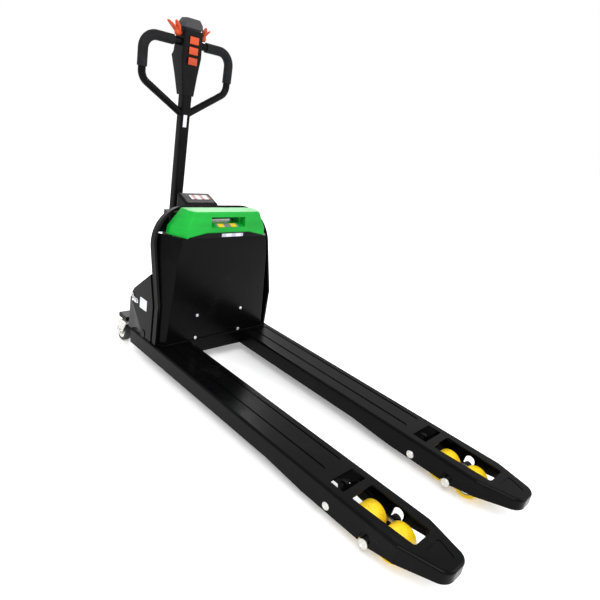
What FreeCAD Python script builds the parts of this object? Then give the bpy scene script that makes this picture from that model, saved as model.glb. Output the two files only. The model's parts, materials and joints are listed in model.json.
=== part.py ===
import FreeCAD, Part
import math
import os
import re

import Sketcher

# Electric pallet truck. Millimetres, +Z up, +X towards the fork tips, +Y the operator's left.
# The origin is on the floor under the middle of the truck's overall box.
DIMENSIONS = {
    "overall_width": 550, "fork_width": 150, "fork_height": 106, "fork_plate": 5,
    "tip_end": 830, "face": -390, "heel_end": -575,
    "slim_edge": 48, "deep_edge": 38, "groove_pitch": 33, "groove_width": 34, "groove_depth": 2.5,
    "arm_axis": 490, "arm_height": 56, "arm_length": 130, "arm_lever": 30,
    "bogie_axis": 620, "bogie_height": 38, "bogie_reach": 47, "load_radius": 40, "load_width": 70,
    "rod_height": 84, "rocker_axis": -490, "rocker_height": 120.5, "rocker_lever": 38,
    "rocker_back": 137.6, "linkage_swing": 20, "rocker_swing": 15.8,
    "panel_top": 512, "arch_half": 268, "arch_top": 606, "arch_knee": 260, "arch_lean": 15,
    "arch_depth": 28, "arch_plate": 9, "arch_corner": 150,
    "cover_top": 606, "battery_half": 205, "battery_front": -396, "battery_back": -483,
    "steer_axis": -690, "drive_radius": 105, "drive_width": 70, "deck_low": 226, "deck_high": 236,
    "caster_axis": -672, "caster_offset": 238, "caster_radius": 37.5, "caster_trail": 22,
    "tilt_axis": -772, "tilt_height": 330, "tube_size": 40, "tube_top": 1120,
    "loop_half": 190, "loop_low": 915, "loop_high": 1166, "loop_tube": 14,
    "head_low": 980, "head_high": 1210, "head_top": 1250,
    "ram_axis": -535, "ram_radius": 14, "running_gap": 0.05,
}
SIDES = (("right", -1), ("left", 1))
AXES = {"x": FreeCAD.Vector(1, 0, 0), "y": FreeCAD.Vector(0, 1, 0), "z": FreeCAD.Vector(0, 0, 1)}
DOWN_AXIS = {"x": (AXES["y"], 90), "y": (AXES["x"], -90), "z": (AXES["z"], 0)}

doc = FreeCAD.newDocument("pallet_truck")
sheet = doc.addObject("Spreadsheet::Sheet", "dims")
for row, (alias, value) in enumerate(DIMENSIONS.items(), start=1):
    sheet.set(f"A{row}", alias)
    sheet.set(f"B{row}", str(value))
    sheet.setAlias(f"B{row}", alias)
doc.recompute()
nodes = []


# ---- helpers: every size is a number or a formula on the sheet's aliases ----

KEY_HEIGHTS = (1176, 1140, 1104)


def formula(text):
    """Turn the aliases in a text into references to the sheet's cells."""
    return re.sub(r"[a-z][a-z_]+", lambda word: "dims." + word.group(), text)


def number(value):
    return float(sheet.evalExpression(formula(value))) if isinstance(value, str) else float(value)


def bind(obj, path, value):
    """Bind a property to the sheet, or set it when the value is a plain number."""
    obj.setExpression(path, formula(value) if isinstance(value, str) else str(value))


def minus(high, low):
    return f"({high}) - ({low})"


def plus(value, offset):
    return f"({value}) + ({offset})"


def place(obj, position):
    for letter, value in zip("xyz", position):
        bind(obj, "Placement.Base." + letter, value)
    return obj


def box(low, high):
    """A block between two corners."""
    obj = doc.addObject("Part::Box", "block")
    for size, start, end in zip(("Length", "Width", "Height"), low, high):
        bind(obj, size, minus(end, start))
    return place(obj, low)


def rod(axis, centre, radius, start, end):
    """A cylinder along an axis, from start to end on that axis; centre is its middle line."""
    obj = doc.addObject("Part::Cylinder", "round_bar")
    turn_axis, angle = DOWN_AXIS[axis]
    obj.Placement = FreeCAD.Placement(FreeCAD.Vector(), FreeCAD.Rotation(turn_axis, angle))
    bind(obj, "Radius", radius)
    bind(obj, "Height", minus(end, start))
    position = list(centre)
    position.insert("xyz".index(axis), start)
    return place(obj, position)


def ring(axis, centre, outer, inner, start, end):
    return cut(rod(axis, centre, outer, start, end), rod(axis, centre, inner, start, end))


def cut(base, *tools):
    obj = doc.addObject("Part::Cut", "cut")
    obj.Base = base
    obj.Tool = tools[0] if len(tools) == 1 else fuse(*tools)
    return obj


def fuse(*shapes):
    obj = doc.addObject("Part::MultiFuse", "joined")
    obj.Shapes = list(shapes)
    return obj


def common(*shapes):
    obj = doc.addObject("Part::MultiCommon", "shared")
    obj.Shapes = list(shapes)
    return obj


def group(*shapes):
    """Separate solids kept in one node."""
    obj = doc.addObject("Part::Compound", "group")
    obj.Links = list(shapes)
    return obj


def round_edges(base, radius, test, along=""):
    """Round the edges whose ends and middle all pass a test, and that run along an axis if given."""
    doc.recompute()
    picked = []
    for index, edge in enumerate(base.Shape.Edges, start=1):
        middle = edge.valueAt((edge.FirstParameter + edge.LastParameter) / 2)
        extent = {"x": edge.BoundBox.XLength, "y": edge.BoundBox.YLength, "z": edge.BoundBox.ZLength}
        straight = all(length < 0.01 for axis, length in extent.items() if axis != along)
        if along and not straight:
            continue
        if all(test(point) for point in [vertex.Point for vertex in edge.Vertexes] + [middle]):
            picked.append((index, radius, radius))
    obj = doc.addObject("Part::Fillet", "rounded")
    obj.Base = base
    obj.Edges = picked
    return obj


def near(value, target):
    return abs(value - number(target)) < 0.01


def origin_plane(body, role):
    return next(item for item in body.Origin.OriginFeatures if item.Role == role)


def prism(plane, outline, start, end):
    """A padded sketch: outline corners in the plane, then the pad from start to end across it."""
    body = doc.addObject("PartDesign::Body", "plate")
    drawing = body.newObject("Sketcher::SketchObject", "outline")
    drawing.AttachmentSupport = (origin_plane(body, plane + "_Plane"), [""])
    drawing.MapMode = "FlatFace"
    corners = [FreeCAD.Vector(number(u), number(v), 0) for u, v in outline]
    for index, corner in enumerate(corners):
        drawing.addGeometry(Part.LineSegment(corner, corners[(index + 1) % len(corners)]), False)
    for index, corner in enumerate(outline):
        following = (index + 1) % len(outline)
        drawing.addConstraint(Sketcher.Constraint("Coincident", index, 2, following, 1))
        for kind, value in zip(("DistanceX", "DistanceY"), corner):
            mark = drawing.addConstraint(Sketcher.Constraint(kind, -1, 1, index, 1, number(value)))
            if isinstance(value, str):
                drawing.setExpression(f"Constraints[{mark}]", formula(value))
    # The XZ plane faces -Y, so there the pad begins at its far side.
    offset = f"-({end})" if plane == "XZ" else start
    bind(drawing, "AttachmentOffset.Base.z", offset)
    pad = body.newObject("PartDesign::Pad", "pad")
    pad.Profile = drawing
    bind(pad, "Length", minus(end, start))
    return body


def solid(shape):
    """A shape made with Part's own functions, for lofts and bent tubes."""
    obj = doc.addObject("Part::Feature", "formed")
    obj.Shape = shape
    return obj


def node(name, obj, side=None):
    """Name a finished piece; side -1 mirrors a piece that was made on the left."""
    if side == -1:
        mirrored = doc.addObject("Part::Mirroring", "mirrored")
        mirrored.Source = obj
        mirrored.Normal = AXES["y"]
        obj = mirrored
    obj.Label = name
    nodes.append(obj)
    return obj


def rounded_section(x_low, x_high, y_half, corner, z):
    """A rounded rectangle at height z, for lofts."""
    section = Part.makePlane(x_high - x_low, 2 * y_half, FreeCAD.Vector(x_low, -y_half, z))
    block = section.extrude(FreeCAD.Vector(0, 0, 10))
    uprights = [edge for edge in block.Edges if edge.BoundBox.ZLength > 9]
    block = block.makeFillet(corner, uprights)
    return next(face.OuterWire for face in block.Faces if face.BoundBox.ZMax < z + 0.01)


def loft(sections, ruled=False):
    return Part.makeLoft([rounded_section(*section) for section in sections], True, ruled)


def bent_wire(points, radii):
    """Straight runs through points, joined by tangent arcs of the given radii."""
    edges = []
    begin = points[0]
    for before, corner, after, radius in zip(points, points[1:], points[2:], radii):
        inward = (before - corner).normalize()
        outward = (after - corner).normalize()
        half = inward.getAngle(outward) / 2
        reach = radius / math.tan(half)
        bisector = (inward + outward).normalize()
        middle = corner + bisector * (radius / math.sin(half) - radius)
        first, last = corner + inward * reach, corner + outward * reach
        edges.append(Part.LineSegment(begin, first).toShape())
        edges.append(Part.Arc(first, middle, last).toShape())
        begin = last
    edges.append(Part.LineSegment(begin, points[-1]).toShape())
    return Part.Wire(edges)


def tube_along(wire, radius):
    start = wire.Edges[0]
    direction = start.tangentAt(start.FirstParameter)
    circle = Part.makeCircle(radius, start.valueAt(start.FirstParameter), direction)
    return wire.makePipeShell([Part.Wire(circle)], True, True)


# ---- forks and the lifting frame ----

def groove(y, front):
    """A pressed channel with round ends, cut into the fork's top plate."""
    floor = "fork_height - groove_depth"
    start, end, half = "face + 28", front, "groove_width / 2"
    bar = box((start, minus(y, half), floor), (end, plus(y, half), plus("fork_height", 1)))
    ends = [rod("z", (x, y), half, floor, "fork_height + 1") for x in (start, end)]
    return fuse(bar, *ends)


def fork(name, side):
    """A channel open below, with a tapered nose, wheel openings and two pressed grooves."""
    half = "fork_width / 2"
    plan = [("heel_end", "-fork_width / 2"), (705, "-fork_width / 2"), ("tip_end", -42),
            ("tip_end", 42), (705, half), ("heel_end", half)]
    outline = round_edges(prism("XY", plan, 0, 120), 34,
                          lambda p: near(p.x, "tip_end"), along="z")
    profile = [("heel_end", "slim_edge"), (250, "slim_edge"), (403, "deep_edge"),
               (634, "deep_edge"),
               (676, "deep_edge + 9"), ("tip_end", "fork_height - 34"), ("tip_end", "fork_height"),
               ("heel_end", "fork_height")]
    outer = common(outline, prism("XZ", profile, "-fork_width", "fork_width"))
    outer = round_edges(outer, 8, lambda p: near(p.z, "fork_height") and p.x > number("heel_end") - 1
                        and not (near(p.x, "heel_end") and abs(p.y) < 70))
    inner_half = "fork_width / 2 - fork_plate"
    ceiling = "fork_height - fork_plate"
    hollow = [("heel_end - 1", "-(fork_width / 2 - fork_plate)"),
              (704, "-(fork_width / 2 - fork_plate)"), ("tip_end - 8", -38), ("tip_end - 8", 38),
              (704, inner_half), ("heel_end - 1", inner_half)]
    opening = [(540, -45), (730, -37), (730, 37), (540, 45)]
    emboss = [(752, -34), (808, -13), (808, 13), (752, 34)]
    channel = round_edges(prism("XY", hollow, -1, ceiling), 28,
                          lambda p: near(p.x, "tip_end - 8"), along="z")
    tools = [channel,
             round_edges(prism("XY", opening, 50, "fork_height + 5"), 8, lambda p: True, along="z"),
             round_edges(prism("XY", emboss, "fork_height - 1.6", "fork_height + 5"), 8, lambda p: True,
                         along="z"),
             box(("heel_end - 1", -80, "fork_height - 2"), ("face", 80, "fork_height + 1")),
             box((466, -47, 50), (514, 47, "fork_height + 5")),
             box(("rocker_axis - 50", -20, 50), ("rocker_axis + 30", 20, "fork_height + 5")),
             rod("y", ("arm_axis", "arm_height"), "10.1", -80, 80),
             capsule((("bogie_axis - 3", "bogie_height - 14"), ("bogie_axis + 1", "arm_height + 1")),
                     16.5, -80, 80)]
    tools += [groove(y, 412) for y in ("-groove_pitch", "groove_pitch")]
    shaped = cut(outer, *tools)
    # The fork is symmetric about its own middle, so it is only moved to its side.
    moved = doc.addObject("Part::Compound", "moved")
    moved.Links = [shaped]
    bind(moved, "Placement.Base.y", f"{side} * (overall_width - fork_width) / 2")
    node(name, moved)


def cross_beam():
    low = ("face - 60", "fork_width - overall_width / 2", "slim_edge")
    high = ("face + 2", "overall_width / 2 - fork_width", "fork_height - 2")
    outer = box(low, high)
    inner = box(("face - 54", low[1], "slim_edge + 6"), ("face - 4", high[1], "fork_height - 8"))
    node("cross_beam", cut(outer, inner))


def front_panel():
    """A folded sheet: a flat face with two chamfered wings, narrowing upwards."""
    skin = 5

    def strip(z, face_half, wing_x, wing_half):
        face_x = face - (z - foot) * slope
        front = [(wing_x, -wing_half), (face_x, -face_half), (face_x, face_half),
                 (wing_x, wing_half)]
        back = [(x - skin, y - math.copysign(skin * 0.6, y)) for x, y in reversed(front)]
        points = [FreeCAD.Vector(x, y, z) for x, y in front + back]
        return Part.makePolygon(points + points[:1])

    face, foot, top = number("face"), number("fork_height"), number("panel_top")
    slope = 10 / (top - foot)
    rows = [(foot, 232, face - 34, 258), (270, 220, face - 38, 258), (430, 208, face - 80, 257),
            (top, 194, face - 100, 246.5)]
    sheet_metal = Part.makeLoft([strip(*row) for row in rows], True, True)
    node("front_panel", solid(sheet_metal))


def panel_bolts():
    """Four button-head screws; the panel leans back, so each seat follows it."""
    lean = "10 / (panel_top - fork_height)"
    bolts = []
    for y in (-105, 105):
        for z in (116, 209):
            seat = f"face + 0.25 - ({z} - fork_height) * {lean}"
            head = rod("x", (y, z), 6.5, seat, plus(seat, 4.5))
            socket = rod("x", (y, z), 3, plus(seat, 2), plus(seat, 5))
            bolts.append(round_edges(cut(head, socket), 1.5, lambda p, y=y, z=z: p.x > -389
                                     and math.hypot(p.y - y, p.z - z) > 6))
    node("panel_bolts", group(*bolts))


def battery_tray():
    """A shelf under the battery with a rim that keeps it in place."""
    low, high = ("battery_back - 4", -216, 240), ("face - 14", 216, 262)
    pocket = box(("battery_back", "-battery_half - 1", 246), ("face - 18", "battery_half + 1", 263))
    post = box(("face - 59", -60, "fork_height - 2"), ("face - 47", 60, 240))
    node("battery_tray", fuse(cut(box(low, high), pocket), post))


def hoop(z_low, z_top, half, corner, plate, depth):
    """An upside-down U of flat plate in the YZ plane, centred on x = 0."""
    outer = round_edges(box((f"-({depth}) / 2", f"-({half})", z_low), (f"({depth}) / 2", half, z_top)),
                        number(corner), lambda p: near(p.z, z_top), along="x")
    inner = round_edges(box((f"-({depth})", f"-({half}) + {plate}", minus(z_low, 30)),
                            (depth, f"({half}) - {plate}", f"({z_top}) - {plate}")),
                        number(corner) - number(plate),
                        lambda p: near(p.z, f"({z_top}) - {plate}"), along="x")
    return cut(outer, inner)


def arch_frame():
    """The upright hoop behind the battery: legs straight up, then leaning back to the top."""
    middle = number("face") - 29
    knee, lean = number("arch_knee"), number("arch_lean")
    rise = (number("arch_top") - knee) / math.cos(math.radians(lean))
    upper = hoop(-12, rise, "arch_half", "arch_corner", "arch_plate", "arch_depth")
    web = cut(round_edges(box((-1.5, "-(arch_half - 4)", 100), (1.5, "arch_half - 4", rise - 4)),
                          number("arch_corner") - 4, lambda p: near(p.z, rise - 4), along="x"),
              box((-2, -196, 99), (2, 196, rise)), box((-2, -270, 99), (2, 270, 264)))
    upper = fuse(upper, web)
    upper.Placement = FreeCAD.Placement(FreeCAD.Vector(middle, 0, knee),
                                        FreeCAD.Rotation(AXES["y"], -lean))
    inside = "arch_half - arch_plate"
    legs = [box((middle - 14, inside, "fork_height - 2"), (middle + 14, "arch_half", knee + 3)),
            box((middle - 14, "-arch_half", "fork_height - 2"), (middle + 14, f"-({inside})", knee + 3))]
    node("arch_frame", fuse(upper, *legs))


def side_plate(name, side):
    """The heel's boxed cheek, open inwards, with the boss that carries the rocker shaft."""
    foot, front = "fork_height - 2", "face - 44"
    outline = [(-600, foot), (front, foot), (front, 252), (-466, 366), (-578, 274), (-600, 240)]
    inside = [(-595, "fork_height + 3"), ("face - 49", "fork_height + 3"), ("face - 49", 250),
              (-469, 357), (-575, 269), (-595, 237)]
    cheek = round_edges(prism("XZ", outline, 222, 272), 4,
                        lambda p: near(p.y, 272) and p.z > number(foot) + 1 and p.x < -435)
    boss = rod("y", ("rocker_axis", "rocker_height"), 16, 258, 274.5)
    shaft_hole = rod("y", ("rocker_axis", "rocker_height"), "12 + running_gap", 221, 273)
    node(name, cut(fuse(cut(cheek, prism("XZ", inside, 221, 267)), boss), shaft_hole), side)


def arm_pivot_pins():
    pins = []
    for _, side in SIDES:
        middle = f"{side} * (overall_width - fork_width) / 2"
        shank = rod("y", ("arm_axis", "arm_height"), 10, minus(middle, 75), plus(middle, 75))
        heads = [rod("y", ("arm_axis", "arm_height"), 12.5, plus(middle, start), plus(middle, end))
                 for start, end in ((75, 78.5), (-78.5, -75))]
        if side > 0:
            heads = [common(heads[0], box((400, 0, 0), (600, "overall_width / 2", 100))), heads[1]]
        else:
            heads = [heads[0], common(heads[1], box((400, "-overall_width / 2", 0), (600, 0, 100)))]
        pins.append(fuse(shank, heads[1] if side > 0 else heads[0]))
    node("arm_pivot_pins", group(*pins))


def lift_parts():
    """The bracket that the ram pushes, and the ram itself."""
    spine = box(("battery_back - 13", -60, 240), ("battery_back - 5", 60, 452))
    shelf = box(("ram_axis - 25", -40, 440), ("battery_back - 6", 40, 452))
    webs = [prism("XZ", [("battery_back - 12", 380), ("battery_back - 12", 441),
                         ("ram_axis - 20", 441)], y, y + 8) for y in (30, -38)]
    node("lift_bracket", fuse(spine, shelf, *webs))
    node("lift_ram", rod("z", ("ram_axis", 0), "ram_radius", 250, 440))


# ---- load wheels and the lifting linkage ----

def capsule(ends, radius, start, end):
    """A flat link with round ends, between two points in the XZ plane."""
    (x0, z0), (x1, z1) = [(number(x), number(z)) for x, z in ends]
    length = math.hypot(x1 - x0, z1 - z0)
    dx, dz = (x1 - x0) / length * radius, (z1 - z0) / length * radius
    bar = prism("XZ", [(x0 - dz, z0 + dx), (x1 - dz, z1 + dx), (x1 + dz, z1 - dx),
                       (x0 + dz, z0 - dx)], start, end)
    return fuse(bar, *[rod("y", point, radius, start, end) for point in ends])


def roller_arm(name, side):
    """The arm that swings the bogie down, with the lever that the push rod drives."""
    middle = number("overall_width - fork_width") / 2
    pivot, bogie = ("arm_axis", "arm_height"), ("bogie_axis", "bogie_height")
    swing = math.radians(number("linkage_swing"))
    lever = (number("arm_axis") - number("arm_lever") * math.sin(swing),
             number("arm_height") + number("arm_lever") * math.cos(swing))
    hub = rod("y", pivot, 17, middle - 53, middle + 53)
    arms = [capsule((pivot, bogie), 15, middle + y, middle + y + 8) for y in (45, -53)]
    levers = [capsule((pivot, lever), 9, middle + y, middle + y + 7) for y in (7, -14)]
    pin = rod("y", lever, 5, middle - 14, middle + 14)
    stubs = [rod("y", bogie, 9, middle + y0, middle + y1) for y0, y1 in ((36.5, 53), (-53, -36.5))]
    heads = [rod("y", bogie, 14, middle + y0, middle + y1) for y0, y1 in ((53, 73), (-73, -53))]
    bore = rod("y", pivot, "10 + running_gap", middle - 60, middle + 60)
    body = cut(fuse(hub, *arms, *levers), bore)
    node(name, fuse(body, pin, *stubs, *heads), side)


def bogie(name, side):
    """Two zinc plates that carry a tandem pair of load wheels on their axles."""
    middle = number("overall_width - fork_width") / 2
    centre, reach = number("bogie_axis"), number("bogie_reach")
    height, low = number("load_radius"), number("bogie_height")
    plates = []
    for y in (37, -43):
        plate = capsule(((centre - reach, height), (centre + reach, height)), 15,
                        middle + y, middle + y + 6)
        lobe = rod("y", (centre, low), 17, middle + y, middle + y + 6)
        hole = rod("y", (centre, low), "9 + running_gap", middle + y - 1, middle + y + 7)
        plates.append(cut(fuse(plate, lobe), hole))
    axles = []
    for x in (centre - reach, centre + reach):
        shank = rod("y", (x, height), 8, middle - 43, middle + 43)
        caps = [rod("y", (x, height), 11, middle + y0, middle + y1)
                for y0, y1 in (((43, 44.5), (-44.5, -43)) if x < centre else ((43, 50), (-50, -43)))]
        axles += [shank, *caps]
    node(name, fuse(*plates, *axles), side)


def load_wheel(name, side, x):
    """A polyurethane tread on a dark bearing hub."""
    middle = number("overall_width - fork_width") / 2
    half = number("load_width") / 2
    axis = (x, "load_radius")
    tread = ring("y", axis, "load_radius", 28, middle - half, middle + half)
    tread = round_edges(tread, 3, lambda p: math.hypot(p.x - number(x), p.z - 40) > 39)
    hub = ring("y", axis, 28, "8 + running_gap", middle - half + 2, middle + half - 2)
    node(name + "_load_tyre", tread, side)
    node(name + "_load_hub", hub, side)


def push_rod(name, side):
    """A flat bar inside the fork from the rocker to the arm lever, hooked over a pin at each end."""
    middle = number("overall_width - fork_width") / 2
    swing = math.radians(number("linkage_swing"))
    front = number("arm_axis") - number("arm_lever") * math.sin(swing)
    turn = math.radians(number("rocker_swing"))
    back = number("rocker_axis") - number("rocker_lever") * math.sin(turn)
    bar = box((back - 12, middle - 5, "rod_height - 8"), (front + 12, middle + 5, "rod_height + 13"))
    bar = round_edges(bar, 5, lambda p: p.z > number("rod_height"), along="y")
    slots = [box((x - 5.9, middle - 6, "rod_height - 9"), (x + 5.9, middle + 6, "rod_height + 8.5"))
             for x in (front, back)]
    node(name, cut(bar, *slots), side)


def rocker_shaft():
    """The cross shaft with a lever down to each push rod and two arms back to the chassis."""
    pivot = (number("rocker_axis"), number("rocker_height"))
    turn = math.radians(number("rocker_swing"))
    lever, reach = number("rocker_lever"), number("rocker_back")
    pin = (pivot[0] - lever * math.sin(turn), pivot[1] - lever * math.cos(turn))
    eye = (pivot[0] - reach * math.cos(turn), pivot[1] + reach * math.sin(turn))
    pieces = [rod("y", pivot, 12, -262, 262)]
    for _, side in SIDES:
        middle = side * number("overall_width - fork_width") / 2
        pieces += [capsule((pivot, pin), 8, middle + y, middle + y + 6) for y in (5.5, -11.5)]
        pieces.append(rod("y", pin, 5, middle - 11.5, middle + 11.5))
        link = capsule((pivot, eye), 14, side * 114 - 6, side * 114 + 6)
        slot = capsule(((eye[0] - 6, eye[1]), (eye[0] + 6, eye[1])), 12.5, side * 114 - 7, side * 114 + 7)
        pad_end = capsule(((eye[0] - 6, eye[1]), (eye[0] + 6, eye[1])), 19,
                          side * 114 - 6, side * 114 + 6)
        pieces.append(cut(fuse(link, pad_end), slot))
    node("rocker_shaft", fuse(*pieces))


# ---- chassis, drive unit and covers ----

def chassis_frame():
    """The deck over the drive wheel, its front wall, the ram's foot and the rocker's ears."""
    plan = [("steer_axis - 78", -88), ("steer_axis - 15", -165), ("ram_axis - 32", -165),
            ("ram_axis - 32", 165), ("steer_axis - 15", 165), ("steer_axis - 78", 88)]
    deck = cut(prism("XY", plan, "deck_low", "deck_high"),
               rod("z", ("steer_axis", 0), 63, 220, 240))
    wall = box(("ram_axis - 40", -96, 52), ("ram_axis - 32", 96, "deck_low"))
    foot = box(("ram_axis - 32", -40, 52), ("ram_axis + 24", 40, 62))
    pin_x = number("rocker_axis") - number("rocker_back") * math.cos(
        math.radians(number("rocker_swing")))
    pin_z = number("rocker_height") + number("rocker_back") * math.sin(
        math.radians(number("rocker_swing")))
    ears = []
    for y in (96, 124, -104, -132):
        ears.append(prism("XZ", [(pin_x - 15, pin_z - 14), (pin_x + 15, pin_z - 14),
                                 (pin_x + 22, "deck_low"), (pin_x - 22, "deck_low")], y, y + 8))
    pins = [rod("y", (pin_x, pin_z), 8, y, y + 36) for y in (96, -132)]
    node("chassis_frame", fuse(deck, wall, foot, *ears, *pins))


def power_pack():
    """Lift cylinder, pump motor, oil tank and controller, under their cover."""
    outer = rod("z", ("ram_axis", 0), 25, 62, 410)
    gland = rod("z", ("ram_axis", 0), 22, 410, 420)
    bore = rod("z", ("ram_axis", 0), "ram_radius + running_gap", 72, 421)
    node("lift_cylinder", cut(fuse(outer, gland), bore))
    pump = fuse(rod("z", (-594, -98), 19, "deck_high", 380), rod("z", (-594, -98), 15, 380, 400))
    node("pump_motor", pump)
    node("oil_tank", round_edges(box((-613, -60, "deck_high"), (-575, 45, 390)), 6,
                                 lambda p: p.z > 300))
    node("controller", box((-611, 60, "deck_high"), (-577, 140, 400)))
    shell = box((-622, -150, "deck_high"), (-566, 150, 566))
    shell = round_edges(shell, 14, lambda p: True, along="z")
    hollow = box((-618, -146, 230), (-570, 146, 560))
    node("power_pack_cover", cut(shell, hollow))


def dash_hood():
    """The dash behind the hoop: a wedge whose top falls towards the forks."""
    outline = [(-650, 566.3), (-567, 566.3), (-567, 588), (-584, 600), (-650, 624)]
    wedge = prism("XZ", outline, -74, 74)
    node("dash_hood", round_edges(wedge, 9, lambda p: abs(p.y) > 73 and p.z > 580))


def rear_guard():
    """A bent bumper round the back of the chassis, open above and below."""
    low, high = number("deck_high"), 262
    outer = round_edges(box((-765, -100, low), (-655, 100, high)), 60,
                        lambda p: near(p.x, -765), along="z")
    inner = round_edges(box((-759, -94, low - 1), (-649, 94, high + 1)), 54,
                        lambda p: near(p.x, -759), along="z")
    node("rear_guard", cut(outer, inner))
    bolts = [rod("y", (x, 249), 5, start, end) for x in (-668, -696)
             for start, end in ((100, 104), (-104, -100))]
    node("guard_bolts", group(*bolts))


def steer_bearing():
    node("steer_bearing", ring("z", ("steer_axis", 0), 64, 56, "deck_high", "deck_high + 18"))


def caster(name, side):
    """A swivelling stabiliser: plate and fork, then the wheel on its axle."""
    x, y = number("caster_axis"), number("caster_offset")
    radius, trail = number("caster_radius"), number("caster_trail")
    axle = (x - trail, radius)
    top = box((x - 44, y - 22, 88), (x + 26, y + 22, 96))
    stem = rod("z", (x, y), 14, 96, 116)
    cheeks = [prism("XZ", [(x - 42, 89), (x + 20, 89), (axle[0] + 14, radius - 8),
                           (axle[0] - 14, radius - 8)], y + start, y + start + 4)
              for start in (17, -21)]
    shank = rod("y", axle, 6, y - 21, y + 21)
    nuts = [rod("y", axle, 10, y + start, y + start + 5) for start in (21, -26)]
    node(name + "_caster_fork", fuse(top, stem, *cheeks, shank, *nuts), side)
    wheel = ring("y", axle, radius, 6.05, y - 14, y + 14)
    wheel = round_edges(wheel, 3, lambda p: math.hypot(p.x - axle[0], p.z - radius) > radius - 1)
    node(name + "_caster_wheel", wheel, side)


def caster_mounts():
    """The posts that hang the casters from the deck."""
    posts = []
    for _, side in SIDES:
        x, y = number("caster_axis"), side * number("caster_offset")
        ends = sorted((side * 130, side * 262))
        arm = box((x - 30, ends[0], 104), (x + 30, ends[1], 122))
        ends = sorted((side * 130, side * 160))
        post = box((x - 26, ends[0], 122), (x + 26, ends[1], 226))
        posts.append(cut(fuse(arm, post), rod("z", (x, y), 14.05, 100, 120)))
    node("caster_mounts", group(*posts))


def drive_unit():
    """The steered yoke, motor and wheel."""
    steer = ("steer_axis", 0)
    crown = rod("z", steer, 60, 214, 222)
    neck = rod("z", steer, 55.5, 222, 262)
    flange = rod("z", steer, 64, 254.4, 262)
    cheeks = [prism("XZ", [("steer_axis - 34", 216), ("steer_axis + 34", 216),
                           ("steer_axis + 20", 84), ("steer_axis - 20", 84)], y, y + 10)
              for y in (41, -51)]
    stubs = [rod("y", ("steer_axis", "drive_radius"), 15, y0, y1) for y0, y1 in ((37, 41), (-41, -37))]
    node("drive_yoke", fuse(crown, neck, flange, *cheeks, *stubs))
    motor = fuse(rod("z", steer, 48, 262, 420), rod("z", steer, 40, 420, 436))
    node("drive_motor", round_edges(motor, 3, lambda p: near(p.z, 420) or near(p.z, 436)))
    half = number("drive_width") / 2
    axis = ("steer_axis", "drive_radius")
    tyre = ring("y", axis, "drive_radius", 82, -half, half)
    tyre = round_edges(tyre, 6, lambda p: math.hypot(p.x - number("steer_axis"), p.z - 105) > 104)
    node("drive_tyre", tyre)
    node("drive_hub", cut(rod("y", axis, 82, -half + 3, half - 3),
                          rod("y", axis, 40, half - 15, half), rod("y", axis, 40, -half, -half + 15)))


def tiller_base():
    """The bracket that turns with the drive unit and carries the tilt axle."""
    saddle = box(("tilt_axis - 6", -46, 268), ("steer_axis - 50", 46, 284))
    collar = ring("z", ("steer_axis", 0), 60, 48.2, 268, 292)
    cheeks = [prism("XZ", [("tilt_axis - 26", 268), ("tilt_axis + 40", 268),
                           ("tilt_axis + 22", "tilt_height + 14"),
                           ("tilt_axis - 22", "tilt_height + 14")], y, y + 8) for y in (38, -46)]
    hole = rod("y", ("tilt_axis", "tilt_height"), 10.1, -50, 50)
    node("tiller_base", cut(fuse(saddle, collar, *cheeks), hole,
                            rod("z", ("steer_axis", 0), 48.2, 260, 300)))
    axle = rod("y", ("tilt_axis", "tilt_height"), 10, -50, 50)
    nuts = [rod("y", ("tilt_axis", "tilt_height"), 14, y0, y1) for y0, y1 in ((46.2, 52), (-52, -46.2))]
    node("tilt_axle", fuse(axle, *nuts))


# ---- tiller and its head ----

def tiller_tube():
    """A square tube on a bored root block."""
    half = "tube_size / 2"
    tube = box(("tilt_axis - 20", "-tube_size / 2", "tilt_height - 18"),
               ("tilt_axis + 20", half, "tube_top"))
    tube = round_edges(tube, 7, lambda p: True, along="z")
    sleeve = rod("y", ("tilt_axis", "tilt_height"), 22, -36, 36)
    bore = rod("y", ("tilt_axis", "tilt_height"), "10 + running_gap", -40, 40)
    hollow = box(("tilt_axis - 16", -16, "tilt_height + 30"), ("tilt_axis + 16", 16, "tube_top - 20"))
    node("tiller_tube", cut(fuse(tube, sleeve), bore, hollow))


def handle_loop():
    """The bow that closes round the head, with a grip sleeve on each side."""
    x = number("tilt_axis")
    half, low, high = number("loop_half"), number("loop_low"), number("loop_high")
    tube = number("loop_tube")
    bows, grips = [], []
    for _, side in SIDES:
        points = [FreeCAD.Vector(x, side * y, z) for y, z in
                  ((40, high), (half, high), (half, high - 150), (20.5, low))]
        bow = solid(tube_along(bent_wire(points, (52, 46)), tube))
        bows.append(cut(bow, box((x - 20, -20, low - 40), (x + 20, 20, low + 60))))
        sleeve_points = [FreeCAD.Vector(x, side * y, z) for y, z in
                         ((72, high), (half, high), (half, high - 112))]
        sleeve = solid(tube_along(bent_wire(sleeve_points, (52,)), tube + 4))
        core = solid(tube_along(bent_wire(points, (52, 46)), tube + 0.02))
        grips.append(cut(sleeve, core))
    node("handle_loop", group(*bows))
    node("handle_grips", group(*grips))


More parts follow.
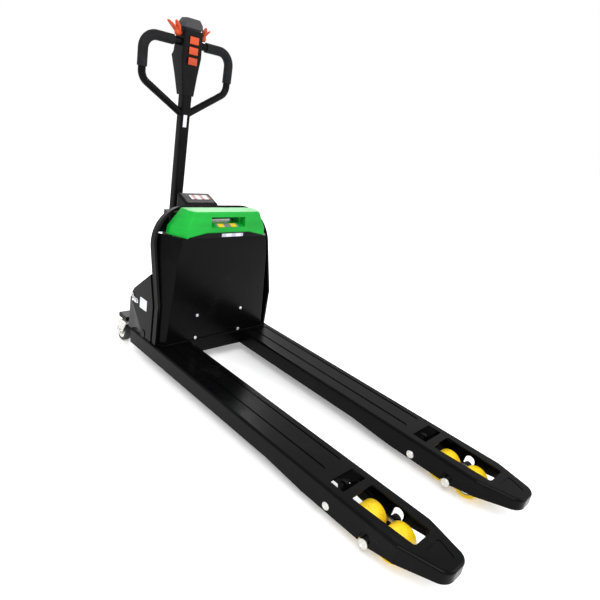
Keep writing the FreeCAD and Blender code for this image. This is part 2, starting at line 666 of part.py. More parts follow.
def head_shell():
    """The control head: a slim moulding round the tube's end that swells behind it."""
    x = number("tilt_axis")
    low, high = number("head_low"), number("head_high")
    sections = [(x - 26, x + 23, 26, 8, low), (x - 42, x + 24, 34, 8, low + 72),
                (x - 58, x + 26, 43, 8, low + 138), (x - 48, x + 27, 42, 8, low + 152),
                (x - 38, x + 28, 40, 8, high)]
    shell = solid(loft(sections, ruled=True))
    core = box(("tilt_axis - 20.2", -20.2, "head_low - 10"), ("tilt_axis + 20.2", 20.2, "tube_top + 0.3"))
    bar = rod("y", ("tilt_axis", "loop_high"), "loop_tube + 0.1", 39, 60)
    other = rod("y", ("tilt_axis", "loop_high"), "loop_tube + 0.1", -60, -39)
    shaft = rod("y", ("tilt_axis", "head_high - 16"), 7.3, -60, 60)
    wells = [box((x + 24.5, -20, z - 14), (x + 36, 20, z + 14)) for z in KEY_HEIGHTS]
    seat = box((x - 31, -33, high - 7), (x + 21, 33, high + 1))
    node("head_shell", cut(shell, core, bar, other, shaft, seat, *wells))
    cap = loft([(x - 38, x + 28, 40, 10, high + 6), (x - 36, x + 26, 38, 10, high + 24),
                (x - 28, x + 18, 30, 10, number("head_top"))], ruled=True)
    collar = box((x - 30, -32, high - 1), (x + 20, 32, high + 8))
    node("belly_button", fuse(solid(cap), collar))


def throttle():
    """A butterfly: one shaft through the head with a curved wing on each side."""
    x, z = number("tilt_axis"), number("head_high") - 16
    pieces = [rod("y", (x, z), 7, -48, 48)]
    for _, side in SIDES:
        near_y, far_y = sorted((side * 46, side * 66))
        hub = rod("y", (x, z), 12, near_y, far_y)
        outline = [(x - 14, z - 2), (x - 20, z + 14), (x - 16, z + 38), (x - 4, z + 40),
                   (x + 9, z + 14), (x + 9, z - 2)]
        near_y, far_y = sorted((side * 46, side * 94))
        wing = round_edges(prism("XZ", outline, near_y, far_y), 4, lambda p: abs(p.y) > 93)
        pieces += [hub, wing]
    node("throttle", fuse(*pieces))


def control_buttons():
    """Three keys on the head's face towards the forks."""
    face = number("tilt_axis") + 26
    for name, z in zip(("lift_button", "lower_button", "horn_button"), KEY_HEIGHTS):
        key = box((face + 2.6, -19, z - 13), (face + 8, 19, z + 13))
        key = round_edges(key, 3, lambda p: near(p.x, face + 8))
        node(name, key)


# ---- battery ----

def battery():
    """The case, and the moulded cover with its carrying slot."""
    case = box(("battery_back + 4", "-battery_half + 14", 246.3), (-411, "battery_half - 14", "panel_top"))
    node("battery_case", round_edges(case, 10, lambda p: True, along="z"))
    foot, front, back = number("panel_top") + 0.5, number("battery_front"), number("battery_back")
    top = number("cover_top")
    rows = [(foot, front, 178, front - 66, 214), (546, front - 2, 176, front - 64, 210),
            (top, front - 10, 148, front - 40, 162)]
    outline = []
    for z, nose, nose_half, ear, ear_half in rows:
        corners = [(back, -ear_half), (ear, -ear_half), (nose, -nose_half),
                   (nose, nose_half), (ear, ear_half), (back, ear_half)]
        outline.append(Part.makePolygon([FreeCAD.Vector(x, y, z) for x, y in corners + corners[:1]]))
    cover = solid(Part.makeLoft(outline, True, True))
    cover = round_edges(cover, 7, lambda p: p.z > foot + 2)
    slot = box(("battery_back - 1", -66, 560), ("battery_front + 1", 66, 586))
    bay = prism("XZ", [("battery_front + 1", 548), ("battery_front + 1", 587), ("battery_front - 30", 587),
                       ("battery_front - 30", 561)], -78, 78)
    node("battery_cover", cut(cover, slot, bay))


def build():
    for name, side in SIDES:
        fork(name + "_fork", side)
        side_plate(name + "_side_plate", side)
        roller_arm(name + "_roller_arm", side)
        bogie(name + "_bogie", side)
        load_wheel(name + "_rear", side, "bogie_axis - bogie_reach")
        load_wheel(name + "_front", side, "bogie_axis + bogie_reach")
        push_rod(name + "_push_rod", side)
        caster(name, side)
    for make in (cross_beam, front_panel, panel_bolts, battery_tray, arch_frame, arm_pivot_pins,
                 lift_parts, rocker_shaft, chassis_frame, power_pack, dash_hood,
                 rear_guard, steer_bearing, caster_mounts, drive_unit, tiller_base, tiller_tube,
                 handle_loop, head_shell, throttle, control_buttons, battery):
        make()
    doc.recompute()


def check_and_write():
    failed = [obj.Label for obj in doc.Objects if {"Invalid", "Error"} & set(obj.State)]
    failed += [obj.Label for obj in nodes if obj.Shape.isNull() or not obj.Shape.isValid()
               or not obj.Shape.Solids]
    if failed:
        raise RuntimeError("not built: " + ", ".join(failed))
    os.makedirs("parts", exist_ok=True)
    whole = FreeCAD.BoundBox()
    for obj in nodes:
        obj.Shape.exportStep(os.path.join("parts", obj.Label + ".step"))
        whole.add(obj.Shape.BoundBox)
    print(len(nodes), "pieces,", round(whole.XMin, 2), round(whole.XMax, 2), round(whole.YMin, 2),
          round(whole.YMax, 2), round(whole.ZMin, 2), round(whole.ZMax, 2))


build()
check_and_write()
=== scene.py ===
import json
import math

import bmesh
import bpy
from mathutils import Matrix, Vector

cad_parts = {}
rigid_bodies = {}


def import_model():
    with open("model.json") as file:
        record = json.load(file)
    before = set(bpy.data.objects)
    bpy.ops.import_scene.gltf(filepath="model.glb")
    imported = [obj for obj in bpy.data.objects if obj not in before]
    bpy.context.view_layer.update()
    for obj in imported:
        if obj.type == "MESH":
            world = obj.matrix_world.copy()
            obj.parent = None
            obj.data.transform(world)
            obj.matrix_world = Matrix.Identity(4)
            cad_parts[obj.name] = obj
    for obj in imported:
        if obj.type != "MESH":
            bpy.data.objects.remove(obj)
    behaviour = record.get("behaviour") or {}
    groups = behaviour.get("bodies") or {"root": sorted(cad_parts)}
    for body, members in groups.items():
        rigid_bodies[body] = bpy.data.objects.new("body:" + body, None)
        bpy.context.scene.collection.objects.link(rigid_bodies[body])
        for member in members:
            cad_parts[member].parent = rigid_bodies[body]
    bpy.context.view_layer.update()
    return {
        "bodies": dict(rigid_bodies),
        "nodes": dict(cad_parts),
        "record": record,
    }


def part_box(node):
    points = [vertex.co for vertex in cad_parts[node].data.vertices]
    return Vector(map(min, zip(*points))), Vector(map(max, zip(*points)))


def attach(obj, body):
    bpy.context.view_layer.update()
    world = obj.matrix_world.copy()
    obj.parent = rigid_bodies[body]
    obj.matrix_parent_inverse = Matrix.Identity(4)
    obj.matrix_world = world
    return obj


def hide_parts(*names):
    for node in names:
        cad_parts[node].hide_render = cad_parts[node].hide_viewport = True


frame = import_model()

SIDES = (("right", -1), ("left", 1))

# sockets that share a name with others and so are picked by place
OBJECT_OUTPUT = 3
MIX_COLOUR_INPUTS = (0, 6, 7)
MIX_COLOUR_OUTPUT = 2

# running gear, from the fork's middle line
FORK_MIDDLE = 0.2
PIVOT_X, PIVOT_Z = 0.49, 0.056
PIVOT_REACH = {"outer": 0.0752, "inner": 0.0786}
ARM_END_X, ARM_END_Z, ARM_END_REACH = 0.62, 0.038, 0.0731
LOAD_AXLE_Z = 0.04
LOAD_AXLES = (("rear", 0.573, 0.0447), ("front", 0.667, 0.0502))
BEARING_REACH = 0.0331

# tower and drive unit
CHEEK_FACE = 0.272
CHEEK_BOLTS = ((-0.584, 0.244), (-0.566, 0.232), (-0.548, 0.232))
BEAD_Z, BEAD_SIZE, CHEEK_BEAD_SIZE = 0.107, 0.0042, 0.0022
COVER_BACK = -0.622
COVER_SCREWS = ((-0.13, 0.25), (0.13, 0.25), (-0.13, 0.55), (0.13, 0.55))
LOUVRES, LOUVRE_PITCH, LOWEST_LOUVRE = 6, 0.016, 0.44
DRIVE_X, DRIVE_Z = -0.69, 0.105
HUB_BOLTS, HUB_BOLT_CIRCLE, HUB_FACE = 5, 0.06, 0.0321
MOTOR_RIBS, RIB_PITCH, LOWEST_RIB = 9, 0.014, 0.285
CASTOR_X, CASTOR_Y, CASTOR_Z, CASTOR_REACH = -0.694, 0.238, 0.0375, 0.0141

# throttle axis, and each leaf as (x, y, z from the axis, half width, half thickness)
THROTTLE_X, THROTTLE_Z = -0.772, 1.194
LOWER_LEAF = ((-0.001, 0.052, 0.0, 0.0105, 0.006), (-0.006, 0.063, 0.010, 0.014, 0.0055),
              (-0.010, 0.076, 0.022, 0.013, 0.0045), (-0.012, 0.087, 0.030, 0.010, 0.0038),
              (-0.013, 0.0925, 0.0335, 0.005, 0.002))
UPPER_LEAF = ((0.0, 0.052, 0.0, 0.011, 0.0062), (0.002, 0.054, 0.010, 0.016, 0.006),
              (0.003, 0.057, 0.020, 0.0165, 0.0056), (0.001, 0.062, 0.032, 0.012, 0.0045),
              (-0.001, 0.066, 0.0385, 0.006, 0.0025))


# ---- shader maths ----

class Value:
    """A shader socket that takes part in sums; each sum adds one Math node."""

    def __init__(self, tree, socket):
        self.tree, self.socket = tree, socket

    def math(self, operation, other):
        node = self.tree.nodes.new("ShaderNodeMath")
        node.operation = operation
        for socket, term in zip(node.inputs, (self, other)):
            join(self.tree, socket, term)
        return Value(self.tree, node.outputs[0])

    def __add__(self, other):
        return self.math("ADD", other)

    def __mul__(self, other):
        return self.math("MULTIPLY", other)

    __radd__ = __add__


def title(key):
    """The socket's own name for a keyword, such as Coat Weight for Coat_Weight."""
    return key.replace("_", " ")


def join(tree, socket, term):
    """Feed a socket from a value, or set it to a plain number or colour."""
    if isinstance(term, Value):
        tree.links.new(term.socket, socket)
    elif isinstance(term, tuple) and len(term) == 3 and socket.type == "RGBA":
        socket.default_value = (*term, 1.0)
    else:
        socket.default_value = term


class Finish:
    """One procedural material around a Principled shader."""

    def __init__(self, name, **constants):
        self.material = bpy.data.materials.new(name)
        self.material.use_nodes = True
        self.tree = self.material.node_tree
        self.shader = self.tree.nodes["Principled BSDF"]
        for key, value in constants.items():
            join(self.tree, self.shader.inputs[title(key)], value)

    def node(self, kind, settings=None, output=0, **sockets):
        node = self.tree.nodes.new("ShaderNode" + kind)
        for key, value in (settings or {}).items():
            setattr(node, key, value)
        for key, value in sockets.items():
            join(self.tree, node.inputs[title(key)], value)
        return Value(self.tree, node.outputs[output])

    def place(self, scale=(1.0, 1.0, 1.0)):
        """The piece's own coordinates in metres, stretched per axis."""
        where = self.node("TexCoord", output=OBJECT_OUTPUT)
        return self.node("Mapping", Vector=where, Scale=scale)

    def noise(self, scale, detail=3.0, rough=0.5, stretch=(1.0, 1.0, 1.0)):
        return self.node("TexNoise", Vector=self.place(stretch), Scale=scale, Detail=detail,
                         Roughness=rough)

    def steps(self, factor, low, high):
        """0 below low and 1 above high, straight between."""
        return self.node("MapRange", {"clamp": True}, Value=factor, From_Min=low, From_Max=high)

    def mix(self, factor, first, second):
        node = self.tree.nodes.new("ShaderNodeMix")
        node.data_type = "RGBA"
        factor_socket, first_colour, second_colour = (node.inputs[spot] for spot in MIX_COLOUR_INPUTS)
        join(self.tree, factor_socket, factor)
        join(self.tree, first_colour, first)
        join(self.tree, second_colour, second)
        return Value(self.tree, node.outputs[MIX_COLOUR_OUTPUT])

    def bump(self, height, distance, strength):
        surface = self.node("Bump", Height=height, Distance=distance, Strength=strength)
        join(self.tree, self.shader.inputs["Normal"], surface)

    def feed(self, **sockets):
        for key, value in sockets.items():
            join(self.tree, self.shader.inputs[title(key)], value)
        return self.material


def coat_paint(name, colour, rough, dust):
    """Powder coat: faint orange peel, hairline scuffs along X and a little dust."""
    paint = Finish(name, Specular_IOR_Level=0.07)
    peel = paint.noise(420, 2.0)
    cloud = paint.noise(9, 5.0, 0.6)
    hair = paint.noise(60, 2.0, 0.6, stretch=(0.25, 14.0, 14.0))
    scuff = paint.steps(hair * cloud, 0.38, 0.46)
    veil = paint.steps(cloud, 0.5, 0.75)
    tone = paint.mix(veil * dust, colour, (0.035, 0.034, 0.033))
    tone = paint.mix(scuff * 0.3, tone, (0.03, 0.03, 0.03))
    paint.bump(peel * 0.6 + cloud * 0.4, 0.00025, 0.35)
    return paint.feed(Base_Color=tone, Roughness=rough + veil * 0.10 + scuff * 0.15 + peel * 0.05)


def moulding(name, colour, rough, grain, depth):
    """Moulded plastic with a spark-eroded grain."""
    plastic = Finish(name, Specular_IOR_Level=0.09)
    texture = plastic.noise(grain, 3.0, 0.6)
    patches = plastic.noise(14, 4.0, 0.6)
    pale = tuple(min(1.0, part * 1.25 + 0.012) for part in colour)
    tone = plastic.mix(plastic.steps(patches, 0.4, 0.7) * 0.25, colour, pale)
    plastic.bump(texture, depth, 0.5)
    return plastic.feed(Base_Color=tone, Roughness=rough + texture * 0.12 + patches * 0.05)


def gloss_moulding(name, colour, rough):
    """Smooth plastic with a soft sheen, faint flow marks and fine wiping scratches."""
    plastic = Finish(name, Specular_IOR_Level=0.25)
    flow = plastic.noise(11, 3.0, 0.5, stretch=(1.0, 0.4, 1.6))
    fine = plastic.noise(900, 2.0, 0.5)
    wipe = plastic.noise(130, 2.0, 0.7, stretch=(8.0, 0.35, 8.0))
    deep = tuple(part * 0.72 for part in colour)
    tone = plastic.mix(plastic.steps(flow, 0.35, 0.7), deep, colour)
    plastic.bump(fine + flow * 0.8, 0.00004, 0.4)
    return plastic.feed(Base_Color=tone,
                        Roughness=rough + plastic.steps(wipe, 0.55, 0.75) * 0.12 + flow * 0.05)


def metal(name, colour, rough, stain):
    """Bare or plated metal with a fine grain and cloudy staining."""
    steel = Finish(name, Metallic=1.0)
    grain = steel.noise(700, 2.0, 0.6)
    cloud = steel.noise(35, 5.0, 0.65)
    dull = tuple(part * 0.55 for part in colour)
    tone = steel.mix(steel.steps(cloud, 0.45, 0.75) * stain, colour, dull)
    steel.bump(grain, 0.00008, 0.35)
    return steel.feed(Base_Color=tone, Roughness=rough + grain * 0.12 + cloud * 0.12)


def tread(name, colour, grime, rough):
    """Polyurethane or rubber with scuffed grime picked up from the floor."""
    rubber = Finish(name, Specular_IOR_Level=0.4)
    cloud = rubber.noise(45, 5.0, 0.65)
    speck = rubber.noise(380, 2.0, 0.5)
    dirt = rubber.steps(cloud * 0.7 + speck * 0.3, 0.48, 0.66)
    tone = rubber.mix(dirt * 0.55, colour, grime)
    rubber.bump(speck + cloud * 2.0, 0.0002, 0.4)
    return rubber.feed(Base_Color=tone, Roughness=rough + dirt * 0.2 + speck * 0.06)


def grip_rubber(name):
    """Soft rubber with a fine matt skin and paler worn patches."""
    rubber = Finish(name, Specular_IOR_Level=0.15)
    skin = rubber.noise(850, 3.0, 0.6)
    worn = rubber.noise(30, 4.0, 0.6)
    tone = rubber.mix(rubber.steps(worn, 0.45, 0.7) * 0.4, (0.005, 0.005, 0.006),
                      (0.016, 0.016, 0.016))
    rubber.bump(skin, 0.0002, 0.6)
    return rubber.feed(Base_Color=tone, Roughness=0.55 + skin * 0.15)


def sticker(name, ground, band, pitch):
    """A blank printed sticker: a plain ground with broad plain bands across it."""
    film = Finish(name, Specular_IOR_Level=0.35)
    bands = film.node("TexWave", {"wave_type": "BANDS", "bands_direction": "Y"}, Vector=film.place(),
                      Scale=pitch)
    fibre = film.noise(300, 2.0)
    worn = film.noise(60, 4.0, 0.6)
    tone = film.mix(film.steps(bands, 0.55, 0.6), ground, band)
    film.bump(fibre, 0.00004, 0.3)
    return film.feed(Base_Color=film.mix(film.steps(worn, 0.55, 0.7) * 0.2, tone, (0.25, 0.25, 0.25)),
                     Roughness=0.3 + fibre * 0.12)


def floor_finish():
    """Pale matt floor that glows faintly, so that it runs into the backdrop."""
    floor = Finish("studio_floor", Specular_IOR_Level=0.1, Emission_Color=(1.0, 1.0, 1.0),
                   Emission_Strength=0.2)
    cloud = floor.noise(1.5, 3.0)
    return floor.feed(Base_Color=floor.mix(cloud * 0.3, (0.93, 0.93, 0.93), (0.9, 0.9, 0.9)),
                      Roughness=0.55 + cloud * 0.1)


FINISHES = {
    "fork_paint": coat_paint("gloss_black_coat", (0.0014, 0.0014, 0.0017), 0.2, 0.03),
    "chassis_paint": coat_paint("satin_black_coat", (0.002, 0.002, 0.0023), 0.28, 0.04),
    "black_plastic": moulding("black_moulding", (0.0025, 0.0025, 0.0029), 0.32, 1500, 0.0002),
    "grey_plastic": moulding("grey_moulding", (0.05, 0.05, 0.054), 0.42, 1500, 0.0003),
    "green_cover": gloss_moulding("green_moulding", (0.0, 0.36, 0.03), 0.42),
    "orange_plastic": gloss_moulding("orange_moulding", (0.56, 0.068, 0.016), 0.42),
    "tread": tread("yellow_polyurethane", (0.9, 0.6, 0.004), (0.42, 0.27, 0.05), 0.34),
    "drive_tread": tread("black_rubber", (0.015, 0.015, 0.015), (0.06, 0.057, 0.053), 0.55),
    "zinc": metal("zinc_plate", (0.68, 0.67, 0.63), 0.26, 0.6),
    "chrome": metal("bright_steel", (0.78, 0.78, 0.8), 0.16, 0.3),
    "dark_steel": metal("blackened_steel", (0.07, 0.07, 0.075), 0.38, 0.6),
    "rubber_grip": grip_rubber("grip_rubber"),
    "aluminium": metal("cast_aluminium", (0.6, 0.6, 0.61), 0.36, 0.4),
    "white_sticker": sticker("white_sticker", (0.62, 0.62, 0.68), (0.42, 0.4, 0.52), 7.0),
    "hazard_sticker": sticker("hazard_sticker", (0.2, 0.2, 0.22), (0.8, 0.55, 0.02), 5.5),
    "dash_sticker": sticker("dash_sticker", (0.5, 0.5, 0.53), (0.3, 0.1, 0.1), 9.0),
}
SLOTS = {entry["material_slot"] for entry in frame["record"]["subparts"]}


def dress_frame():
    """Give every carried-over piece the finish of its slot."""
    for entry in frame["record"]["subparts"]:
        carried = frame["nodes"][entry["node"]]
        carried.data.materials.clear()
        carried.data.materials.append(FINISHES[entry["material_slot"]])


# ---- shaping ----

def settle(name, mesh, body, finish, stands_for=(), crease=35):
    """Turn a bmesh into a finished piece that rides on a body."""
    bmesh.ops.recalc_face_normals(mesh, faces=mesh.faces)
    data = bpy.data.meshes.new(name)
    mesh.to_mesh(data)
    mesh.free()
    data.shade_smooth()
    data.set_sharp_from_angle(angle=math.radians(crease))
    data.materials.append(FINISHES[finish])
    piece = bpy.data.objects.new(name, data)
    bpy.context.collection.objects.link(piece)
    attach(piece, body)
    finish in SLOTS
    if stands_for:
        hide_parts(*stands_for)
    return piece


def turned(mesh, profile, centre, axis, steps=40):
    """Spin a profile of (distance along the axis, radius) points round the axis."""
    direction = Vector(axis).normalized()
    across = direction.orthogonal().normalized()
    points = [mesh.verts.new(Vector(centre) + direction * along + across * radius)
              for along, radius in profile]
    edges = [mesh.edges.new(pair) for pair in zip(points, points[1:])]
    bmesh.ops.spin(mesh, geom=points + edges, cent=centre, axis=direction, angle=math.tau,
                   steps=steps, use_merge=True)
    bmesh.ops.remove_doubles(mesh, verts=mesh.verts, dist=1e-6)


def seated(origin, outward, upward):
    """The matrix that lays XY on a face at origin, with Z outwards and Y along upward."""
    normal = Vector(outward).normalized()
    side = Vector(upward).cross(normal).normalized()
    return Matrix.Translation(origin) @ Matrix((side, normal.cross(side), normal)).transposed().to_4x4()


def slab(mesh, size, thick, matrix, rounding, lip=0.0):
    """A thin plate with rounded corners and a softened rim, on the face that matrix gives."""
    made = bmesh.ops.create_grid(mesh, x_segments=1, y_segments=1, size=0.5)["verts"]
    bmesh.ops.scale(mesh, vec=(size[0], size[1], 1), verts=made)
    bmesh.ops.bevel(mesh, geom=made, offset=rounding, affect="VERTICES", segments=5, profile=0.5,
                    material=-1)
    face = max(mesh.faces, key=lambda side: len(side.verts))
    raised = bmesh.ops.extrude_face_region(mesh, geom=[face])["geom"]
    top = [part for part in raised if isinstance(part, bmesh.types.BMVert)]
    bmesh.ops.translate(mesh, vec=(0, 0, thick), verts=top)
    if lip:
        rim = [part for part in raised if isinstance(part, bmesh.types.BMEdge)]
        bmesh.ops.bevel(mesh, geom=rim, offset=lip, affect="EDGES", segments=2, profile=0.5, material=-1)
    bmesh.ops.transform(mesh, matrix=matrix, verts=mesh.verts)


def plate(name, body, finish, size, thick, origin, outward, upward, rounding):
    """A round-cornered plate that is a piece of its own."""
    mesh = bmesh.new()
    slab(mesh, size, thick, seated(origin, outward, upward), rounding)
    settle(name, mesh, body, finish)


def swept(mesh, stations):
    """Skin a chain of (centre, forward, side, wide, thin) ellipses and close both ends."""
    loops = []
    for centre, forward, side, wide, thin in stations:
        ring = bmesh.ops.create_circle(mesh, segments=20, radius=1.0)["verts"]
        bmesh.ops.scale(mesh, vec=(wide, thin, 1), verts=ring)
        bmesh.ops.transform(mesh, matrix=seated(centre, forward, side), verts=ring)
        loops.append(ring)
    for first, second in zip(loops, loops[1:]):
        edges = [edge for ring in (first, second) for edge in
                 {edge for point in ring for edge in point.link_edges
                  if all(end in ring for end in edge.verts)}]
        bmesh.ops.bridge_loops(mesh, edges=edges)
    for ring in (loops[0], loops[-1]):
        bmesh.ops.contextual_create(mesh, geom=ring)


def soften(node, width):
    """Stand in for a carried-over piece with the same shape and rounded edges."""
    source = frame["nodes"][node]
    body = next(name for name, empty in frame["bodies"].items() if empty is source.parent)
    finish = next(entry["material_slot"] for entry in frame["record"]["subparts"]
                  if entry["node"] == node)
    mesh = bmesh.new()
    mesh.from_mesh(source.data)
    bmesh.ops.remove_doubles(mesh, verts=mesh.verts, dist=2e-5)
    bmesh.ops.dissolve_limit(mesh, angle_limit=math.radians(1.0), verts=mesh.verts, edges=mesh.edges)
    piece = settle("soft_" + node, mesh, body, finish, (node,))
    rounding = piece.modifiers.new("rounding", "BEVEL")
    rounding.width, rounding.segments = width, 3
    rounding.limit_method, rounding.angle_limit = "ANGLE", math.radians(24)


# ---- fasteners and bearings ----

def hex_bolt(name, body, centre, axis, across, height, finish="chrome"):
    """A washer and a chamfered hexagon head, standing out along axis."""
    mesh = bmesh.new()
    outward = Vector(axis).normalized()
    turned(mesh, [(0, 0), (0, across * 0.78), (0.0012, across * 0.8), (0.0018, across * 0.74),
                  (0.0018, 0)], centre, outward)
    before = set(mesh.verts)
    bmesh.ops.create_cone(mesh, cap_ends=True, segments=6, radius1=across * 0.577,
                          radius2=across * 0.577, depth=height)
    head = [point for point in mesh.verts if point not in before]
    rim = [edge for point in head for edge in point.link_edges
           if all(end.co.z > 0 for end in edge.verts)]
    bmesh.ops.transform(mesh, matrix=seated(Vector(centre) + outward * (0.0018 + height / 2), outward,
                                            outward.orthogonal()), verts=head)
    bmesh.ops.bevel(mesh, geom=list(set(rim)), offset=across * 0.07, affect="EDGES", segments=2,
                    profile=0.5, material=-1)
    settle(name, mesh, body, finish)


def pin_face(name, body, centre, axis, radius):
    """The turned end of a pin: domed rim, a groove and a centre drilling."""
    mesh = bmesh.new()
    steps = [(0, 1.0), (0.0016, 1.0), (0.0026, 0.9), (0.0026, 0.66), (0.0018, 0.62), (0.0018, 0.5),
             (0.0026, 0.46), (0.0026, 0.24), (0.0006, 0.16), (0.0006, 0)]
    turned(mesh, [(along, part * radius) for along, part in steps], centre, axis)
    settle(name, mesh, body, "zinc")


def running_gear():
    """Turned pin ends, load wheel bearings and axle nuts in both forks, and the cheek bolts."""
    for side, sign in SIDES:
        middle = FORK_MIDDLE * sign
        for end, outward in (("outer", sign), ("inner", -sign)):
            pin_face(f"{side}_{end}_pivot_end", "fork_frame",
                     (PIVOT_X, middle + PIVOT_REACH[end] * outward, PIVOT_Z), (0, outward, 0), 0.0115)
            pin_face(f"{side}_{end}_arm_end", f"{side}_arm",
                     (ARM_END_X, middle + ARM_END_REACH * outward, ARM_END_Z), (0, outward, 0), 0.0135)
            for place, x, nut_reach in LOAD_AXLES:
                mesh = bmesh.new()
                turned(mesh, [(0, 0.0255), (0.0012, 0.0255), (0.0012, 0.0215), (0.0004, 0.0205),
                              (0.0004, 0.0145), (0.0014, 0.0138), (0.0014, 0.0095), (0, 0.0095)],
                       (x, middle + BEARING_REACH * outward, LOAD_AXLE_Z), (0, outward, 0))
                settle(f"{side}_{place}_{end}_bearing", mesh, f"{side}_{place}_load_wheel", "zinc")
                hex_bolt(f"{side}_{place}_{end}_axle_nut", f"{side}_bogie_plates",
                         (x, middle + nut_reach * outward, LOAD_AXLE_Z), (0, outward, 0), 0.013, 0.004,
                         "zinc")
        for spot, (x, z) in enumerate(CHEEK_BOLTS):
            hex_bolt(f"{side}_cheek_bolt_{spot}", "fork_frame", (x, sign * CHEEK_FACE, z), (0, sign, 0),
                     0.012, 0.006)


# ---- tower ----

def weld_row(mesh, start, end, size):
    """A row of overlapping ripples from start to end."""
    start, end = Vector(start), Vector(end)
    count = max(2, round((end - start).length / (size * 0.9)))
    for step in range(count):
        spot = start.lerp(end, (step + 0.5) / count)
        stretch = Matrix.Diagonal((size, size * 0.85, size * 0.55, 1))
        bmesh.ops.create_icosphere(mesh, subdivisions=1, radius=1.0,
                                   matrix=Matrix.Translation(spot) @ stretch)


def weld_beads():
    """The runs that join the panel, hoop and cheeks to the heels."""
    mesh = bmesh.new()
    weld_row(mesh, (-0.389, -0.232, BEAD_Z), (-0.389, 0.232, BEAD_Z), BEAD_SIZE)
    for _, sign in SIDES:
        weld_row(mesh, (-0.39, sign * 0.236, BEAD_Z), (-0.42, sign * 0.262, BEAD_Z), BEAD_SIZE)
        weld_row(mesh, (-0.436, sign * 0.2735, 0.1065), (-0.574, sign * 0.2735, 0.1065), CHEEK_BEAD_SIZE)
    settle("weld_beads", mesh, "fork_frame", "fork_paint", crease=80)


def battery_trim():
    """The black lip under the cover, its plain plate and the sticker in the carrying bay."""
    mesh = bmesh.new()
    low, high = 0.5126, 0.531
    outline = [(-0.176, low), (0.176, low), (0.172, 0.516), (0.098, high), (-0.098, high),
               (-0.172, 0.516)]
    lip = mesh.faces.new([mesh.verts.new((-0.3958, y, z)) for y, z in outline])
    raised = bmesh.ops.extrude_face_region(mesh, geom=[lip])["geom"]
    front = [part for part in raised if isinstance(part, bmesh.types.BMVert)]
    bmesh.ops.translate(mesh, vec=(0.0028, 0, 0), verts=front)
    rim = [part for part in raised if isinstance(part, bmesh.types.BMEdge)]
    bmesh.ops.bevel(mesh, geom=rim, offset=0.001, affect="EDGES", segments=2, profile=0.5, material=-1)
    settle("battery_lip", mesh, "battery", "black_plastic")
    plate("battery_plate", "battery", "white_sticker", (0.1, 0.0125), 0.0006, (-0.39295, 0.018, 0.5215),
          (1, 0, 0), (0, 0, 1), 0.0015)
    plate("bay_sticker", "battery", "hazard_sticker", (0.1, 0.02), 0.0005, (-0.4105, 0.0, 0.55465),
          (13, 0, 31), (-31, 0, 13), 0.002)


def tower_trim():
    """Plain stickers on the hood, tube and cheeks, and louvres and screws on the back cover."""
    plate("dash_plate", "chassis", "dash_sticker", (0.088, 0.03), 0.0006, (-0.617, 0.008, 0.6126),
          (24, 0, 66), (-66, 0, 24), 0.002)
    plate("tube_plate", "tiller", "white_sticker", (0.016, 0.046), 0.0005, (-0.7518, -0.004, 0.885),
          (1, 0, 0), (0, 0, 1), 0.001)
    for side, sign in SIDES:
        plate(f"{side}_cheek_plate", "fork_frame", "white_sticker", (0.05, 0.042), 0.0005,
              (-0.5, sign * 0.2721, 0.236), (0, sign, 0), (0, 0, 1), 0.002)
    for row in range(LOUVRES):
        mesh = bmesh.new()
        spot = (-0.6221, 0.0, LOWEST_LOUVRE + row * LOUVRE_PITCH)
        slab(mesh, (0.11, 0.005), 0.003, seated(spot, (-1, 0, 0), (0, 0, 1)), 0.0024, 0.001)
        settle(f"louvre_{row}", mesh, "chassis", "black_plastic")
    for spot, (y, z) in enumerate(COVER_SCREWS):
        hex_bolt(f"cover_screw_{spot}", "chassis", (COVER_BACK, y, z), (-1, 0, 0), 0.009, 0.0025,
                 "dark_steel")


def drive_trim():
    """Bolt circles on the drive hub, ribs on the motor and faces on the castor wheels."""
    for side, sign in SIDES:
        for step in range(HUB_BOLTS):
            turn = math.tau * step / HUB_BOLTS
            centre = (DRIVE_X + HUB_BOLT_CIRCLE * math.cos(turn), sign * HUB_FACE,
                      DRIVE_Z + HUB_BOLT_CIRCLE * math.sin(turn))
            hex_bolt(f"{side}_hub_bolt_{step}", "drive_wheel", centre, (0, sign, 0), 0.012, 0.003, "zinc")
        for face, outward in (("outer", sign), ("inner", -sign)):
            mesh = bmesh.new()
            turned(mesh, [(0, 0.026), (0.0006, 0.026), (0.0012, 0.024), (0.0006, 0.02), (0.0006, 0.014),
                          (0.0016, 0.013), (0.0016, 0.0085), (0, 0.0085)],
                   (CASTOR_X, sign * CASTOR_Y + outward * CASTOR_REACH, CASTOR_Z), (0, outward, 0))
            settle(f"{side}_castor_{face}_face", mesh, f"{side}_caster_roller", "zinc")
    for row in range(MOTOR_RIBS):
        mesh = bmesh.new()
        turned(mesh, [(-0.0016, 0.0478), (-0.0012, 0.0502), (0.0012, 0.0502), (0.0016, 0.0478)],
               (DRIVE_X, 0, LOWEST_RIB + row * RIB_PITCH), (0, 0, 1), 48)
        settle(f"motor_rib_{row}", mesh, "steering", "dark_steel")


# ---- tiller head ----

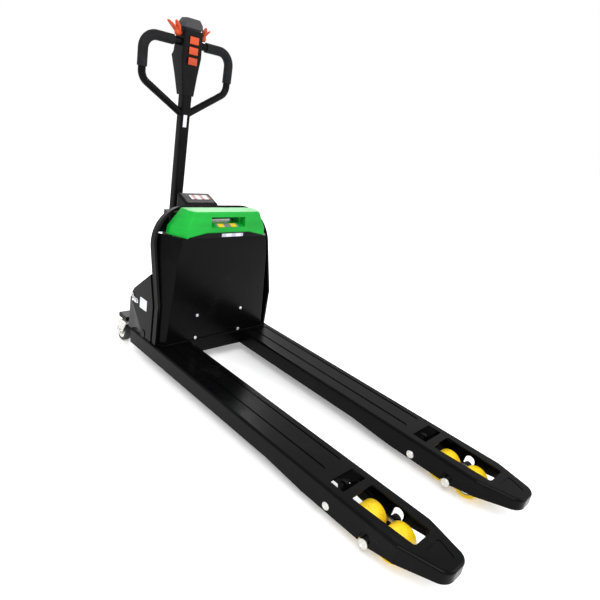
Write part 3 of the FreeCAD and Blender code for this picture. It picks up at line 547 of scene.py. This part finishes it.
def butterfly():
    """The twist throttle: a crowned hub and two curved leaves on each side of the head."""
    mesh = bmesh.new()
    x, z = THROTTLE_X, THROTTLE_Z
    turned(mesh, [(-0.047, 0), (-0.047, 0.0068), (0.047, 0.0068), (0.047, 0)], (x, 0, z), (0, 1, 0), 24)
    for _, sign in SIDES:
        turned(mesh, [(0.0445, 0), (0.0445, 0.009), (0.047, 0.0112), (0.058, 0.0118), (0.0635, 0.0105),
                      (0.0655, 0.007), (0.0655, 0)], (x, 0, z), (0, sign, 0), 32)
        for leaf in (LOWER_LEAF, UPPER_LEAF):
            spots = [Vector((x + dx, sign * dy, z + dz)) for dx, dy, dz, _, _ in leaf]
            stations = []
            for step, spot in enumerate(spots):
                ahead = spots[min(step + 1, len(spots) - 1)] - spots[max(step - 1, 0)]
                stations.append((spot, ahead, (0, sign, -0.6), leaf[step][3], leaf[step][4]))
            swept(mesh, stations)
    settle("butterfly", mesh, "throttle_shaft", "orange_plastic", ("throttle",), crease=50)


def head_trim():
    """A raised pad on each of the three keys."""
    for key in ("lift", "lower", "horn"):
        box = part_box(key + "_button")
        middle = (box[0] + box[1]) / 2
        mesh = bmesh.new()
        slab(mesh, (0.021, 0.013), 0.0007, seated((box[1].x, 0, middle.z), (1, 0, 0), (0, 0, 1)), 0.003,
             0.0004)
        settle(key + "_key_pad", mesh, key + "_key", "orange_plastic")


# ---- studio ----

def studio():
    """Pale floor, soft light and the camera."""
    mesh = bmesh.new()
    bmesh.ops.create_grid(mesh, x_segments=1, y_segments=1, size=60)
    data = bpy.data.meshes.new("studio_floor")
    mesh.to_mesh(data)
    mesh.free()
    ground = bpy.data.objects.new("studio_floor", data)
    bpy.context.collection.objects.link(ground)
    data.materials.append(floor_finish())

    world = bpy.data.worlds.new("studio")
    world.use_nodes = True
    world.node_tree.nodes["Background"].inputs[0].default_value = (1.0, 1.0, 1.0, 1.0)
    world.node_tree.nodes["Background"].inputs[1].default_value = 1.0
    bpy.context.scene.world = world
    bpy.context.scene.view_settings.view_transform = "Standard"
    for name, place, size, power in (("key", (1.6, -2.2, 3.2), 2.0, 90), ("fill", (2.8, 2.0, 2.4), 2.2, 45),
                                     ("back", (-3.0, 1.6, 2.2), 1.6, 60)):
        lamp = bpy.data.lights.new(name, "AREA")
        lamp.size, lamp.energy = size, power
        holder = bpy.data.objects.new(name, lamp)
        holder.location = place
        holder.rotation_euler = (Vector((0, 0, 0.4)) - Vector(place)).to_track_quat("-Z", "Y").to_euler()
        bpy.context.collection.objects.link(holder)

    yaw, pitch, roll = (math.radians(angle) for angle in (47.96, 19.84, 10.44))
    ahead = Vector((-math.cos(yaw) * math.cos(pitch), math.sin(yaw) * math.cos(pitch), -math.sin(pitch)))
    level = ahead.cross(Vector((0, 0, 1))).normalized()
    upright = level.cross(ahead)
    right = level * math.cos(roll) + upright * math.sin(roll)
    up = upright * math.cos(roll) - level * math.sin(roll)
    eye = bpy.data.objects.new("camera", bpy.data.cameras.new("camera"))
    eye.matrix_world = Matrix.Translation((1.0851, -1.1788, 0.9902)) @ Matrix(
        (right, up, -ahead)).transposed().to_4x4()
    eye.data.lens = 30.46
    eye.data.sensor_width = 36
    bpy.context.collection.objects.link(eye)
    bpy.context.scene.camera = eye


dress_frame()
for softened, width in (("battery_cover", 0.005), ("dash_hood", 0.006), ("head_shell", 0.004),
                        ("belly_button", 0.004), ("right_side_plate", 0.003), ("left_side_plate", 0.003),
                        ("front_panel", 0.0012), ("power_pack_cover", 0.003), ("lift_button", 0.0016),
                        ("lower_button", 0.0016), ("horn_button", 0.0016), ("tiller_base", 0.0015),
                        ("caster_mounts", 0.002), ("arch_frame", 0.002), ("tiller_tube", 0.002),
                        ("rear_guard", 0.001)):
    soften(softened, width)
running_gear()
weld_beads()
battery_trim()
tower_trim()
drive_trim()
butterfly()
head_trim()
studio()
